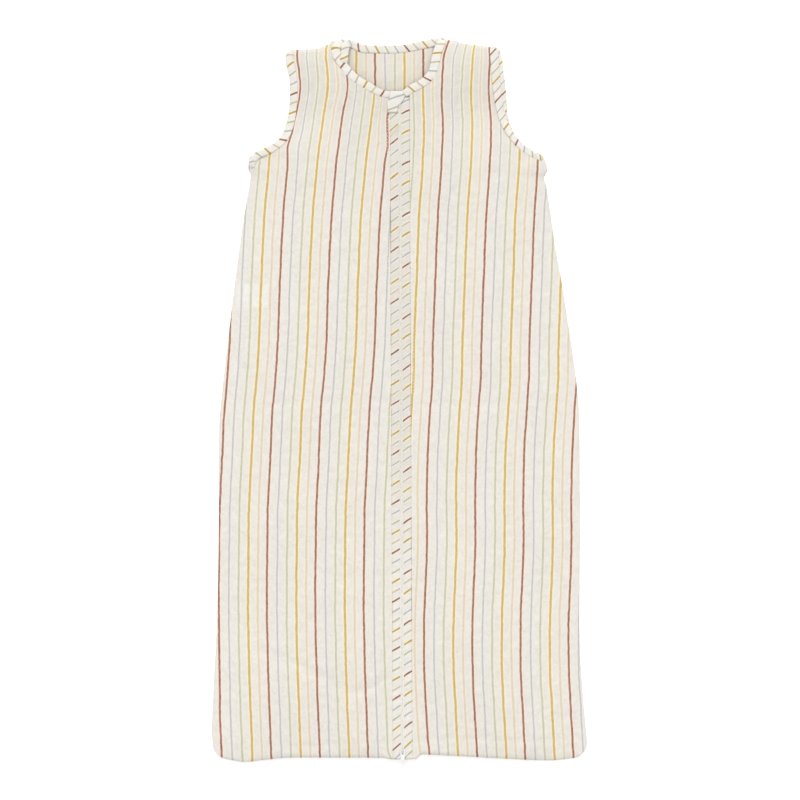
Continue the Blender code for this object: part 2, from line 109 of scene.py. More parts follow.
# Widths of the armhole bindings, and how far their dashes slant, as (y, number)
LEFT_ARM_WIDTH = ((226, 3.6), (230, 5.4), (235, 7), (240, 7.4), (345, 7.4))
RIGHT_ARM_WIDTH = ((237, 5.6), (250, 6.2), (262, 6.9), (280, 7.9), (300, 8.4), (346, 8.4))
RIGHT_ARM_SLANT = ((237, 0.7), (250, 0.45), (262, 0.35), (274, 0.6), (290, 0.85), (346, 0.93))
LEFT_NECK_SLANT = ((297, -0.5), (303, -0.2), (314, 0.2), (326, 0.3), (352, 0.3))
# Middle of the neck binding, as (x, y): each front branch from the zip to the neck point, then the back
LEFT_NECK = (
    (-0.6, 298.6), (-15, 299.6), (-24, 303.4), (-32, 308), (-42.5, 314.5), (-50.4, 322.5), (-55.6, 329.5),
    (-59.6, 335.8), (-61.8, 341.5), (-60.8, 346.2), (-56.5, 349.6), (-52, 350.6),
)
LEFT_NECK_WIDTH = ((298, 6.2), (304, 7.4), (324, 8.2), (336, 9.2), (342, 9.4), (351, 7.6))  # at that y
RIGHT_NECK = (
    (0.6, 298.6), (4.8, 299.8), (11.5, 304.4), (19.8, 308.6), (26.5, 313.6), (31.8, 320.8), (34.6, 330.5),
    (36.9, 340.2), (40.2, 348.5), (41.6, 352.4),
)
RIGHT_NECK_WIDTH = ((298, 7.2), (310, 8.2), (345, 8.8), (353, 8))
# The back's binding turns down over the left branch before it crosses to the right
BACK_NECK = (
    (-54.4, 329), (-53.4, 336.5), (-52.8, 343), (-50.8, 348.2), (-46.4, 348.8), (-41, 346), (-35, 344),
    (-22, 343.2), (-2, 343.3), (10, 344.8), (20, 346.8), (30, 348.9), (38, 351.2), (44, 350),
)
# Hem line and shoulder seams, as (x, y)
HEM = (
    (-186, -342.8), (-172, -345.3), (-154, -348.3), (-136, -346.6), (-110, -344.4), (-60, -344.5), (-19, -345),
    (-14.5, -346.1), (0, -346.2), (9, -346.1), (13.8, -345.8), (16, -343.2), (19, -341.7),
    (30, -342.3), (66, -344.2), (95, -346), (140, -348), (165, -346), (182, -343),
)
SHOULDERS = (
    (-112, 341.5), (-106, 343.3), (-87, 344.2), (-77, 345.4), (-66, 350.2), (-57, 352.5), (45, 352.4),
    (58, 350), (78, 347), (88, 345.6), (97, 345.8), (103, 343),
)
HEM_CORNER = 14.0  # radius
CORNER_Y = -332.0

# ---- How far the stripes drift sideways, in mm, as (y, shift), level with y = -133 ----
LEFT_DRIFT = (
    (352, 31.5), (302, 30.3), (271, 26.4), (240, 22.2), (209, 19.2), (178, 16.4), (116, 13.2), (60, 11), (22, 8.3),
    (-9, 5.4), (-60, 2.8), (-100, 0.6), (-133, 0), (-195, -0.8), (-258, 0.1), (-350, 3),
)
RIGHT_DRIFT = (
    (352, 19), (302, 16.2), (271, 17), (240, 16), (209, 14), (178, 11.6), (116, 9), (60, 6.6), (22, 5.8),
    (-9, 3.5), (-45, 1.2), (-90, -0.1), (-133, 0), (-164, -1), (-210, -3.1), (-258, -3.3), (-303, -1.3), (-350, 1.2),
)
# Where seams pull the stripes aside on top of that: (x, y, reach across, reach along, shift)
LEFT_PULLS = (
    (-101, 302, 9, 24, 3.2), (-108, 249, 12, 10, -2), (-54, 305, 9, 14, 1.8), (-12, 285, 9, 26, -3.6),
    (-14, 250, 9, 12, 1.4), (-74, 308, 34, 15, 1.2), (-74, 338, 34, 11, -1.3), (-182, -320, 26, 60, -1.5),
    (-13, -347, 6, 6, 3.2),
)
RIGHT_PULLS = (
    (22, -347, 11, 14, 1.4), (52, 354, 26, 12, 4.5), (104, 300, 8, 24, -1), (88, 348, 12, 12, -3),
    (88, 316, 12, 24, -1.6),
)
LEFT_FIRST_RUST = -129.7  # x of one rust stripe of each panel at y = -133
RIGHT_FIRST_RUST = 25.1
BACK_FIRST_RUST = -23.3
LEFT_STRETCH = 1.004  # the left panel's stripes stand a little further apart

# Stripe counts on the bands, as (y, count)
LEFT_DASHES = (
    (-350, 61.6), (-334, 60), (-191.5, 45), (-48.6, 30), (98.2, 15), (148.7, 10), (198.3, 5), (253.2, 0),
    (267, -2), (278.6, -3), (300, -5),
)
RIGHT_DASHES = ((-350, -63.9), (282.9, 0), (300, 1.7))
# How steeply the dashes rise to the right, as (y, slope)
LEFT_SLOPES = ((-350, 0.95), (-322, 0.8), (-290, 0.62), (-220, 0.56), (40, 0.66), (200, 0.72), (262, 0.86), (300, 1))
RIGHT_SLOPES = ((-350, 1), (-322, 0.85), (-290, 0.66), (-220, 0.62), (40, 0.72), (240, 0.52), (300, 0.5))

RUST, GREY, SAGE, MUSTARD, PEACH = range(5)


# ---- Numbers along a line ----


def spline(points, step=1.0):
    """Points of the smooth curve through these, about that far apart."""
    p = np.array(points, float)
    p = np.vstack([2 * p[0] - p[1], p, 2 * p[-1] - p[-2]])
    out = []
    for i in range(1, len(p) - 2):
        count = max(2, int(np.linalg.norm(p[i + 1] - p[i]) / step))
        t = np.arange(count)[:, None] / count
        a, b, c, d = p[i - 1], p[i], p[i + 1], p[i + 2]
        out.append(
            0.5 * (2 * b + (c - a) * t + (2 * a - 5 * b + 4 * c - d) * t**2 + (3 * b - a - 3 * c + d) * t**3)
        )
    return np.vstack([*out, p[-2:-1]])


def level(points):
    """A smooth function through (place, value) points."""
    line = spline(sorted(points), 1.0)
    return lambda at: float(np.interp(at, line[:, 0], line[:, 1]))


def crossing(points):
    """x of a line of (x, y) points as a function of y."""
    line = spline(points, 0.5)
    line = line[np.argsort(line[:, 1])]
    return lambda at: float(np.interp(at, line[:, 1], line[:, 0]))


def ease(t):
    t = min(max(t, 0.0), 1.0)
    return t * t * (3 - 2 * t)


def ripple(x, y, size_x, size_y, seed):
    """Smooth noise from -1 to 1 whose features are about that many mm across and along."""
    return noise.noise(Vector((x / size_x, y / size_y, seed * 7.31)))


hem_line, shoulder_line = level(HEM), level(SHOULDERS)
drifts = {-1: level(LEFT_DRIFT), 1: level(RIGHT_DRIFT)}
pulls = {-1: LEFT_PULLS, 1: RIGHT_PULLS}
dashes = {-1: level(LEFT_DASHES), 1: level(RIGHT_DASHES)}
slopes = {-1: level(LEFT_SLOPES), 1: level(RIGHT_SLOPES)}
side_lines = {-1: level(LEFT_SIDE), 1: level(RIGHT_SIDE)}
arm_lines = {-1: crossing(LEFT_ARM), 1: crossing(RIGHT_ARM)}
arm_back_lines = {-1: crossing(LEFT_ARM_BACK), 1: crossing(RIGHT_ARM_BACK)}
neck_lines = {-1: crossing(LEFT_NECK), 1: crossing(RIGHT_NECK)}
ARMPIT_Y = 239.0  # where the armholes start
NECK_LOW = 299.0  # and the neck opening
HEM_LEVEL = -346.0  # where the panels' rows start, before they follow the hem line
FRONT_TOP, BACK_TOP = 352.0, 347.0  # and end, before they follow the shoulders
HEM_BLEND, TOP_BLEND = 60, 40  # over these lengths the rows turn to follow those lines
PANEL_WIDE = 165.0  # width that sets how many columns a front has
PANEL_INNER = 9.6  # where a panel's zip edge stands, beside the band's outer edge
SEAM_HEIGHT = 2.4  # of the front's upper face where it meets a seam


def side_x(sign, y):
    """The bag's edge at that height, hem corner included."""
    x = side_lines[sign](max(y, CORNER_Y))
    if y < CORNER_Y:
        drop = min(CORNER_Y - y, HEM_CORNER)
        x -= sign * (HEM_CORNER - math.sqrt(HEM_CORNER**2 - drop**2))
    return x


def outer_x(sign, y, arms):
    """A panel's outer edge: the side seam, then 2 mm inside the armhole's finished edge."""
    if y <= ARMPIT_Y:
        return side_x(sign, y)
    return arms[sign](y) - sign * 2 * ease((y - ARMPIT_Y) / 5)


def zip_top(y):
    """Height in mm of the tapes' middle at that y."""
    return (ZIP_Z + (y * MM - ZIP_Y) * math.tan(ZIP_SLOPE)) / MM


# ---- The front's relief ----

CREASES = (  # soft folds pressed into the front: (points, width, depth) in mm
    (((-135, -240), (-118, -250), (-99, -255), (-72, -268), (-50, -279), (-30, -276), (-16, -268)), 5, 0.9),
    (((-150, -262), (-128, -268), (-104, -272)), 4, 0.5),
    (((-172, 2), (-120, 0.5), (-60, 1.5), (-16, 1)), 3.5, 0.35),
    (((16, -1), (70, -2), (120, 1), (168, -1)), 3.5, 0.35),
    (((20, -66), (80, -70), (140, -66), (168, -69)), 3.5, 0.35),
    (((127, -76), (140, -92), (155, -108)), 4, 0.7),
    (((-125, -242), (-112, -246), (-98, -254.5)), 2.2, 0.8),
    (((-52, -282.5), (-35, -278), (-14, -270)), 2.2, 0.8),
    (((-70, -210), (-52, -196), (-28, -200)), 5, 0.6),
    (((-84, -160), (-60, -170), (-34, -168), (-16, -176)), 5, 0.5),
    (((14, -327), (60, -326), (120, -328), (172, -326)), 2.2, 0.7),
    (((-172, -331), (-120, -333), (-60, -331), (-14, -330)), 2.2, 0.45),
    (((-120, 250), (-98, 262), (-84, 281)), 5, 0.8),
    (((-126, 236), (-104, 232), (-78, 236)), 6, 0.7),
    (((112, 252), (96, 268), (86, 290)), 5, 0.8),
    (((124, 238), (104, 226), (82, 222)), 6, 0.8),
    (((-60, 334), (-74, 322), (-86, 300)), 5, 0.7),
    (((42, 336), (54, 318), (60, 296)), 5, 0.7),
    (((-16, 282), (-30, 262), (-34, 236)), 5, 0.6),
    (((14, 284), (24, 262), (26, 238)), 5, 0.6),
    (((-104, 336.5), (-86, 337.6), (-74, 339.5), (-64, 343.5)), 1.5, 0.5),  # seam allowances at the shoulders
    (((58, 343.6), (74, 340.6), (94, 338.6)), 1.5, 0.5),
)
crease_lines = [(spline(points, 4.0), width, depth) for points, width, depth in CREASES]


def crease_depth(x, y):
    total = 0.0
    for line, width, depth in crease_lines:
        nearest = np.min((line[:, 0] - x) ** 2 + (line[:, 1] - y) ** 2) / width**2
        if nearest < 9:
            total += depth * math.exp(-nearest)
    return total


def arch(sign, x, y):
    """Smooth height of the front's upper face, in mm: on the tapes at the zip, down to the seams."""
    edge = abs(side_x(sign, min(y, ARMPIT_Y)))
    if y > ARMPIT_Y:
        above = ease((y - ARMPIT_Y) / 45)
        edge += (abs(arm_lines[sign](y)) + 13 - edge) * above
    t = min(max((abs(x) - PANEL_INNER) / (edge - PANEL_INNER), 0), 1)
    rise = min(max((y - HEM_LEVEL) / 120, 0), 1)
    top = ease((y - 215) / 75)
    bulge = 6.6 * (1 - (1 - rise) ** 2) * (1 - 0.7 * top)
    fall = min(max((y - 300) / (shoulder_line(x) - 300), 0), 1)
    at_zip = zip_top(y) - 0.4
    droop = 3.0 * ease((y - 225) / 45) * ease((abs(x) - 50) / 45)
    height = at_zip * (1 - t ** (3 - 1.5 * top)) + bulge * 4 * t * (1 - t) - droop * (1 - t)
    return SEAM_HEIGHT + math.sqrt(1 - fall**2) * height


def relief(x, y, seed):
    """Soft waves, faint pleats along the stripes, and the gauze's puckers, in mm."""
    broad = 2.3 * ripple(x, y, 62, 130, seed) + 1.2 * ripple(x, y, 34, 60, seed + 1)
    pleats = 0.75 * ripple(x, y, 15, 110, seed + 2)
    patch = 0.5 + 0.5 * ripple(x, y, 50, 70, seed + 3)
    pucker = 0.42 * ripple(x, y, 6.5, 4.6, seed + 4) + 0.28 * ripple(x, y, 3.6, 9.5, seed + 5)
    return broad + pleats + pucker * (0.6 + 0.8 * patch)


def front_height(sign, x, y):
    """Upper face of the front, in mm, with its edge turned down at the side seam and the hem."""
    smooth = arch(sign, x, y)
    to_side = abs(side_x(sign, min(y, ARMPIT_Y))) - abs(x) if y <= ARMPIT_Y + 2 else 30
    to_hem = y - hem_line(x)
    to_zip = abs(x) - PANEL_INNER
    to_top = shoulder_line(x) - y
    fade = ease(to_side / 16) * ease(to_hem / 14) * (0.25 + 0.75 * ease(to_zip / 14)) * ease(to_top / 16)
    z = smooth + fade * relief(x, y, 1 + sign) - crease_depth(x, y) * (0.3 + 0.7 * fade)
    z += (1 - fade) * 0.3 * ripple(x, y, 5, 7, 40 + sign)
    over_tape = 3.2 - 2.0 * ease((17 - abs(x)) / 2.5)  # the hem turns sharply over the ends of the tapes
    for distance, reach in ((to_side, 3.2), (to_hem, over_tape), (to_top, 3.2)):
        turn = min(max(distance / reach, 0), 1)
        z = 0.7 + (z - 0.7) * math.sqrt(1 - (1 - turn) ** 2)
    return z


# ---- Materials ----


def linear(*rgb):
    """A colour picked as 0 to 255 on screen, in linear light."""
    return tuple(((c / 255 + 0.055) / 1.055) ** 2.4 if c > 10 else c / 255 / 12.92 for c in rgb)


class Nodes:
    """Short names for building a material's node tree."""

    def __init__(self, name):
        self.material = bpy.data.materials.new(name)
        self.material.use_nodes = True
        self.tree = self.material.node_tree
        self.shader = self.tree.nodes["Principled BSDF"]

    def link(self, value, socket):
        if isinstance(value, (int, float)):
            socket.default_value = value
        elif isinstance(value, (tuple, list)):
            socket.default_value = (*value, 1.0) if len(socket.default_value) == 4 else value
        else:
            self.tree.links.new(value, socket)

    def look(self, **looks):
        """Sets the shader's inputs, whose names are written with _ for a space, to numbers, colours or outputs."""
        for name, value in looks.items():
            self.link(value, self.shader.inputs[name.replace("_", " ")])

    def on_object(self):
        return self.tree.nodes.new("ShaderNodeTexCoord").outputs["Object"]

    def math(self, operation, a, b=0.0):
        node = self.tree.nodes.new("ShaderNodeMath")
        node.operation = operation
        for value, socket in zip((a, b), node.inputs):
            self.link(value, socket)
        return node.outputs[0]

    def vector(self, x, y):
        node = self.tree.nodes.new("ShaderNodeCombineXYZ")
        for value, socket in zip((x, y), node.inputs):
            self.link(value, socket)
        return node.outputs[0]

    def noise(self, at, scale, detail=2.0, roughness=0.5):
        node = self.tree.nodes.new("ShaderNodeTexNoise")
        self.link(at, node.inputs["Vector"])
        node.inputs["Scale"].default_value = scale
        node.inputs["Detail"].default_value = detail
        node.inputs["Roughness"].default_value = roughness
        return node.outputs["Fac"]

    def spread(self, value, low, high, to_low=0.0, to_high=1.0, smooth=False):
        node = self.tree.nodes.new("ShaderNodeMapRange")
        node.interpolation_type = "SMOOTHSTEP" if smooth else "LINEAR"
        for v, socket in zip((value, low, high, to_low, to_high), node.inputs):
            self.link(v, socket)
        return node.outputs["Result"]

    def steps(self, value, colours):
        """One colour for each whole number from 0."""
        node = self.tree.nodes.new("ShaderNodeValToRGB")
        node.color_ramp.interpolation = "CONSTANT"
        elements = node.color_ramp.elements
        while len(elements) < len(colours):
            elements.new(1.0)
        for i, colour in enumerate(colours):
            elements[i].position = i / len(colours)
            elements[i].color = (*colour, 1.0)
        self.link(self.math("DIVIDE", self.math("ADD", value, 0.5), float(len(colours))), node.inputs["Fac"])
        return node.outputs["Color"]

    def mix(self, share, a, b):
        node = self.tree.nodes.new("ShaderNodeMix")
        node.data_type = "RGBA"
        self.link(share, node.inputs["Factor"])
        self.link(a, node.inputs["A"])
        self.link(b, node.inputs["B"])
        return node.outputs["Result"]

    def bump(self, height, distance, strength=1.0, after=None):
        node = self.tree.nodes.new("ShaderNodeBump")
        node.inputs["Strength"].default_value = strength
        node.inputs["Distance"].default_value = distance
        self.link(height, node.inputs["Height"])
        if after is not None:
            self.link(after, node.inputs["Normal"])
        return node.outputs["Normal"]

    def place(self, name):
        node = self.tree.nodes.new("ShaderNodeUVMap")
        node.uv_map = name
        split = self.tree.nodes.new("ShaderNodeSeparateXYZ")
        self.link(node.outputs["UV"], split.inputs["Vector"])
        return split.outputs["X"], split.outputs["Y"]


STRIPES = {  # screen colour, half width in stripe spacings, how strongly it is dyed, and the tint beside it
    RUST: ((141, 99, 75), 0.107, 0.97, (255, 230, 215)),
    GREY: ((190, 187, 181), 0.088, 0.82, (238, 234, 229)),
    SAGE: ((195, 189, 157), 0.098, 0.80, (238, 236, 219)),
    MUSTARD: ((204, 172, 106), 0.116, 0.94, (252, 239, 200)),
    PEACH: ((221, 203, 174), 0.104, 0.76, (243, 234, 219)),
}
RUST_ASIDE = -0.05  # the rust stripe stands off the even spacing, in stripe spacings
HALO = 0.19  # width of the tint, in stripe spacings: the second layer's stripe blurred by the first
# Painted shade: where the muslin's ground starts and finishes darkening towards the neck, and how much darker it
# gets
YOKE_START, YOKE_FULL = 150 * MM, 330 * MM
YOKE_PAINTED_SHADE = (13, 14, 16)
LIGHT = 1.03  # how much brighter the lamps make a colour than its own albedo


def albedo(*rgb):
    return tuple(c / LIGHT for c in linear(*rgb))


def muslin_material(name, base=(240, 236, 228), label_shows=False, striped=True, fine=1.0):
    """Crinkled double gauze with thin woven stripes, laid out by the Cloth UV map; fine narrows and darkens them."""
    n = Nodes(name)
    u, v = n.place("Cloth")

    def scaled(across, along):
        return n.vector(n.math("MULTIPLY", u, across), n.math("MULTIPLY", v, along))

    # Each stripe wanders a little, and kinks where the gauze puckers
    own = n.vector(n.math("MULTIPLY", n.math("ROUND", u), 3.7), n.math("MULTIPLY", v, 0.30))
    wander = n.math("MULTIPLY", n.math("SUBTRACT", n.noise(own, 1.0, 2.0), 0.5), 0.13)
    kink = n.math("MULTIPLY", n.math("SUBTRACT", n.noise(scaled(0.55, 1.25), 1.0, 2.0, 0.6), 0.5), 0.12)
    across = n.math("ADD", n.math("ADD", u, n.math("ADD", wander, kink)), 0.5)
    count = n.math("FLOOR", across)
    which = n.math("FLOORED_MODULO", count, 5.0)
    middle = n.steps(which, [(0.5 + (RUST_ASIDE if stripe == RUST else 0),) * 3 for stripe in STRIPES])
    off = n.math("ABSOLUTE", n.math("SUBTRACT", n.math("SUBTRACT", across, count), middle))
    yarn = n.noise(scaled(7.0, 16.0), 1.0, 2.0)
    off = n.math("ADD", off, n.math("MULTIPLY", n.math("SUBTRACT", yarn, 0.5), 0.05))
    half = n.steps(which, [(h * fine**0.4,) * 3 for _, h, _, _ in STRIPES.values()])
    depth = n.steps(which, [(s,) * 3 for _, _, s, _ in STRIPES.values()])
    inside = n.spread(n.math("SUBTRACT", half, off), -0.035, 0.035, smooth=True)
    beside = n.spread(n.math("SUBTRACT", half, off), -HALO, -0.03, 0.0, 0.95, smooth=True)
    fade = n.spread(n.noise(scaled(0.9, 2.2), 1.0, 3.0), 0.3, 0.7, 0.82, 1.0)
    inside = n.math("MULTIPLY", n.math("MULTIPLY", inside, depth), fade)
    # The undyed ground is a touch darker where its threads are open
    tone = n.spread(n.noise(n.vector(u, v), 0.55, 3.0), 0.3, 0.7)
    ground = n.mix(tone, albedo(*(c - 3 for c in base)), albedo(*(c + 2 for c in base)))
    slub = n.spread(n.noise(scaled(11.0, 0.9), 1.0, 3.0), 0.35, 0.65)
    weft = n.spread(n.noise(scaled(3.0, 30.0), 1.0, 2.0), 0.35, 0.65)
    thread = n.math("MULTIPLY", n.math("ADD", slub, weft), 0.5)
    ground = n.mix(n.math("MULTIPLY", thread, 0.09), ground, albedo(196, 190, 182))
    # Painted shade: the colour is darkened in the hollows of its crinkles, where less light reaches
    crinkle = n.noise(scaled(1.9, 1.5), 1.0, 5.0, 0.65)
    crinkle_painted_shade = n.spread(crinkle, 0.60, 0.36, smooth=True)
    ground = n.mix(n.math("MULTIPLY", crinkle_painted_shade, 0.13), ground, albedo(196, 190, 180))
    # Painted shade: the ground is darkened gradually towards the neck end
    top_painted_shade = n.spread(v, YOKE_START / PITCH, YOKE_FULL / PITCH, 0.0, 1.0, smooth=True)
    ground = n.mix(top_painted_shade, ground, albedo(*(c - d for c, d in zip(base, YOKE_PAINTED_SHADE))))
    if label_shows:
        # The label inside is seen through the gauze as a slightly whiter rectangle
        label_low, label_high = label_window()
        side = n.math("MULTIPLY",
            n.spread(u, label_low[0] - 0.05, label_low[0] + 0.05, smooth=True),
            n.spread(u, label_high[0] + 0.05, label_high[0] - 0.05, smooth=True))
        end = n.math("MULTIPLY",
            n.spread(v, label_low[1] - 0.05, label_low[1] + 0.05, smooth=True),
            n.spread(v, label_high[1] + 0.05, label_high[1] - 0.05, smooth=True))
        behind = n.math("MULTIPLY", side, end)
        ground = n.mix(n.math("MULTIPLY", behind, 0.36), ground, albedo(248, 249, 247))
    colour = ground
    if striped:
        dyes = [
            albedo(*(part * fine ** (1.0 if stripe == RUST else 0.6) for part in row[0]))
            for stripe, row in STRIPES.items()
        ]
        tints = [albedo(*tint) for _, _, _, tint in STRIPES.values()]
        colour = n.mix(beside, ground, n.steps(which, tints))
        colour = n.mix(inside, colour, n.steps(which, dyes))
    n.look(Base_Color=colour, Roughness=0.92, Specular_IOR_Level=0.18, Sheen_Weight=0.12, Sheen_Roughness=0.5)
    normal = n.bump(crinkle, 1.1 * MM, 0.9)
    weave = n.math("ADD",
        n.math("SINE", n.math("MULTIPLY", u, 2 * math.pi * 19)),
        n.math("SINE", n.math("MULTIPLY", v, 2 * math.pi * 17)))
    normal = n.bump(n.math("ADD", n.math("MULTIPLY", weave, 0.25), thread), 0.16 * MM, 0.75, normal)
    n.look(Normal=normal)
    return n.material


def label_window():
    """Low and high corner of the label, in the left front's stripe counts."""
    low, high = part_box("care_label")
    y = (low[1] + high[1]) / 2 / MM
    return (
        (stripe_count(-1, low[0] / MM, y) - 0.4, low[1] / PITCH),
        (stripe_count(-1, high[0] / MM, y) - 0.4, high[1] / PITCH),
    )


def stripe_count(sign, x, y):
    """Which stripe lies at that place of a front panel; rust stripes are at whole multiples of 5."""
    first = LEFT_FIRST_RUST if sign < 0 else RIGHT_FIRST_RUST
    pull = sum(
        shift * math.exp(-(((x - px) / across) ** 2) - ((y - py) / along) ** 2)
        for px, py, across, along, shift in pulls[sign]
    )
    spacing = PITCH * (LEFT_STRETCH if sign < 0 else 1)
    return (x - drifts[sign](y) - pull - first) * MM / spacing


def thread_material():
    n = Nodes("cotton_thread")
    at = n.on_object()
    colour = n.mix(n.noise(at, 900.0), albedo(232, 227, 216), albedo(244, 241, 234))
    n.look(Base_Color=colour, Roughness=0.7, Normal=n.bump(n.noise(at, 2600.0), 0.1 * MM, 0.5))
    return n.material


def tape_material():
    """Woven polyester: fine chevrons along the tape."""
    n = Nodes("woven_tape")
    split = n.tree.nodes.new("ShaderNodeSeparateXYZ")
    n.link(n.on_object(), split.inputs["Vector"])
    x, y = split.outputs["X"], split.outputs["Y"]
    zigzag = n.math("PINGPONG", n.math("MULTIPLY", x, 1000.0), 1.5)
    rib = n.math("SINE", n.math("MULTIPLY", n.math("ADD", n.math("MULTIPLY", y, 1000.0), zigzag), 2 * math.pi * 1.4))
    colour = n.mix(n.spread(rib, -1.0, 1.0), albedo(226, 225, 220), albedo(245, 245, 242))
    n.look(Base_Color=colour, Roughness=0.75, Normal=n.bump(rib, 0.12 * MM, 0.7))
    return n.material


def nylon_glow_material():
    n = Nodes("nylon_coil_painted_glow")
    at = n.on_object()
    colour = n.mix(n.noise(at, 260.0), albedo(241, 238, 227), albedo(248, 246, 238))
    n.look(Base_Color=colour, Roughness=0.38, Normal=n.bump(n.noise(at, 1500.0), 0.05 * MM, 0.4))
    # Painted light: the nylon glows faintly, which brightens the coil where it lies in shade between the bands
    n.look(Emission_Color=(1.0, 0.98, 0.91), Emission_Strength=0.26)
    n.look(Subsurface_Weight=0.15, Subsurface_Radius=(0.001, 0.001, 0.001))
    return n.material


def lacquer_material():
    """Sprayed lacquer on cast metal: a faint orange peel, a little duller where fingers rub it."""
    n = Nodes("white_lacquer")
    at = n.on_object()
    wear = n.spread(n.noise(at, 220.0, 3.0), 0.45, 0.75)
    colour = n.mix(wear, albedo(234, 234, 233), albedo(218, 217, 214))
    n.look(Base_Color=colour, Roughness=n.spread(wear, 0.0, 1.0, 0.22, 0.42), Coat_Weight=0.5, Coat_Roughness=0.12)
    n.look(Normal=n.bump(n.noise(at, 1400.0), 0.04 * MM, 0.35))
    return n.material


def satin_material():
    n = Nodes("label_satin")
    at = n.on_object()
    split = n.tree.nodes.new("ShaderNodeSeparateXYZ")
    n.link(at, split.inputs["Vector"])
    rib = n.math("SINE", n.math("MULTIPLY", split.outputs["Y"], 2 * math.pi * 3200))
    colour = n.mix(n.noise(at, 300.0), albedo(240, 240, 238), albedo(250, 250, 250))
    n.look(Base_Color=colour, Roughness=0.42, Sheen_Weight=0.3, Normal=n.bump(rib, 0.05 * MM, 0.4))
    return n.material


# ---- Meshes ----


def new_piece(name, points, faces, counts, material, slot, *replaced, body="bag"):
    """A mesh piece in metres; counts holds each point's (across, along) stripe counts for the Cloth map."""
    mesh = bpy.data.meshes.new(name)
    mesh.from_pydata([tuple(p) for p in points], [], faces)
    if counts is not None:
        uv = mesh.uv_layers.new(name="Cloth")
        flat = np.asarray(counts, np.float32)[[loop.vertex_index for loop in mesh.loops]]
        uv.data.foreach_set("uv", flat.ravel())
    mesh.materials.append(material)
    mesh.shade_smooth()
    mesh.validate()
    made = bpy.data.objects.new(name, mesh)
    bpy.context.scene.collection.objects.link(made)
    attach(made, body)
    if replaced:
        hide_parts(*replaced)
    return made


def grid_faces(rows, columns, flip=False, wrap=False):
    """Quads of a grid of points stored row by row; wrap joins the last column to the first."""
    faces = []
    for r in range(rows - 1):
        for c in range(columns if wrap else columns - 1):
            a, b = r * columns + c, r * columns + (c + 1) % columns
            face = (a, b, b + columns, a + columns)
            faces.append(face[::-1] if flip else face)
    return faces


def thicken(piece, thickness):
    """Gives a sheet its thickness, inwards from the modelled face."""
    solid = piece.modifiers.new("Thickness", "SOLIDIFY")
    solid.thickness = thickness
    solid.offset = -1
    solid.use_quality_normals = True
    graph = bpy.context.evaluated_depsgraph_get()
    mesh = bpy.data.meshes.new_from_object(piece.evaluated_get(graph))
    piece.modifiers.clear()
    piece.data = mesh


def spaced(start, end, cell, edge=()):
    """Places from start to end about a cell apart, with finer ones at these distances from both ends."""
    length = abs(end - start)
    near = [e for e in edge if e < length / 3]
    inner = near[-1] if near else 0
    count = max(1, round((length - 2 * inner) / cell))
    middle = [inner + (length - 2 * inner) * i / count for i in range(count + 1)]
    places = [0.0, *near[:-1], *middle, *(length - e for e in reversed(near[:-1])), length]
    if not near:
        places = middle
    direction = 1 if end > start else -1
    return [start + direction * p for p in places]


EDGE = (0.35, 0.9, 1.8, 3.2)  # finer rows beside a turned edge, in mm


def panel_points(sign, inner, arms, top, height):
    """Rows of points over one front, from the zip out to its edge."""
    rows = spaced(HEM_LEVEL, top, CELL / MM, EDGE)
    shares = np.array(spaced(0.0, PANEL_WIDE, CELL / MM, EDGE)) / PANEL_WIDE
    points = []
    for y in rows:
        x_in, x_out = inner(y), outer_x(sign, y, arms)
        for share in shares:
            x = x_in + (x_out - x_in) * share
            at = y + (hem_line(x) - HEM_LEVEL) * ease((HEM_LEVEL + HEM_BLEND - y) / HEM_BLEND)
            at += (shoulder_line(x) - top) * ease((y - top + TOP_BLEND) / TOP_BLEND)
            points.append((x, at, height(x, at)))
    return np.array(points), len(rows), len(shares)


def make_front(side, sign, material):
    def inner(y):
        wide = sign * PANEL_INNER
        if y <= NECK_LOW:
            return wide
        x = neck_lines[sign](y)
        return x if abs(x) > PANEL_INNER else wide

    points, rows, columns = panel_points(sign, inner, arm_lines, FRONT_TOP, lambda x, y: front_height(sign, x, y))
    counts = [(stripe_count(sign, x, y), y * MM / PITCH) for x, y, _ in points]
    faces = grid_faces(rows, columns, flip=sign < 0)
    piece = new_piece(f"front_{side}", points * MM, faces, counts, material, "muslin", f"front_panel_{side}")
    thicken(piece, GAUZE)
    return piece


def back_count(x, y):
    """Stripe counts on the back, counted as they are seen from its inside, through the neck."""
    return (x - BACK_FIRST_RUST + 0.04 * min(y - 300, 0)) * MM / PITCH


def back_height(x, y):
    """Upper face of the back, in mm: flat on the surface, its neck and armhole edges lifting off it, and its hem
    turned up to the tapes."""
    neck = 5.8 * ease((y - 262) / 60) * ease((62 - abs(x + 8)) / 45) * ease((352 - y) / 8)
    lift = 0.0
    for sign in (-1, 1):
        if sign * x > 0 and y > ARMPIT_Y:
            near = ease(1 - (abs(arm_back_lines[sign](y)) - abs(x)) / 26)
            lift = 3.4 * near * ease((y - ARMPIT_Y) / 28) * ease((340 - y) / 26)
    lip = 2.1 * ease((11.5 - abs(x)) / 1.5) * ease((-344.45 - y) / 0.8)
    return 1.35 + neck + lift + lip


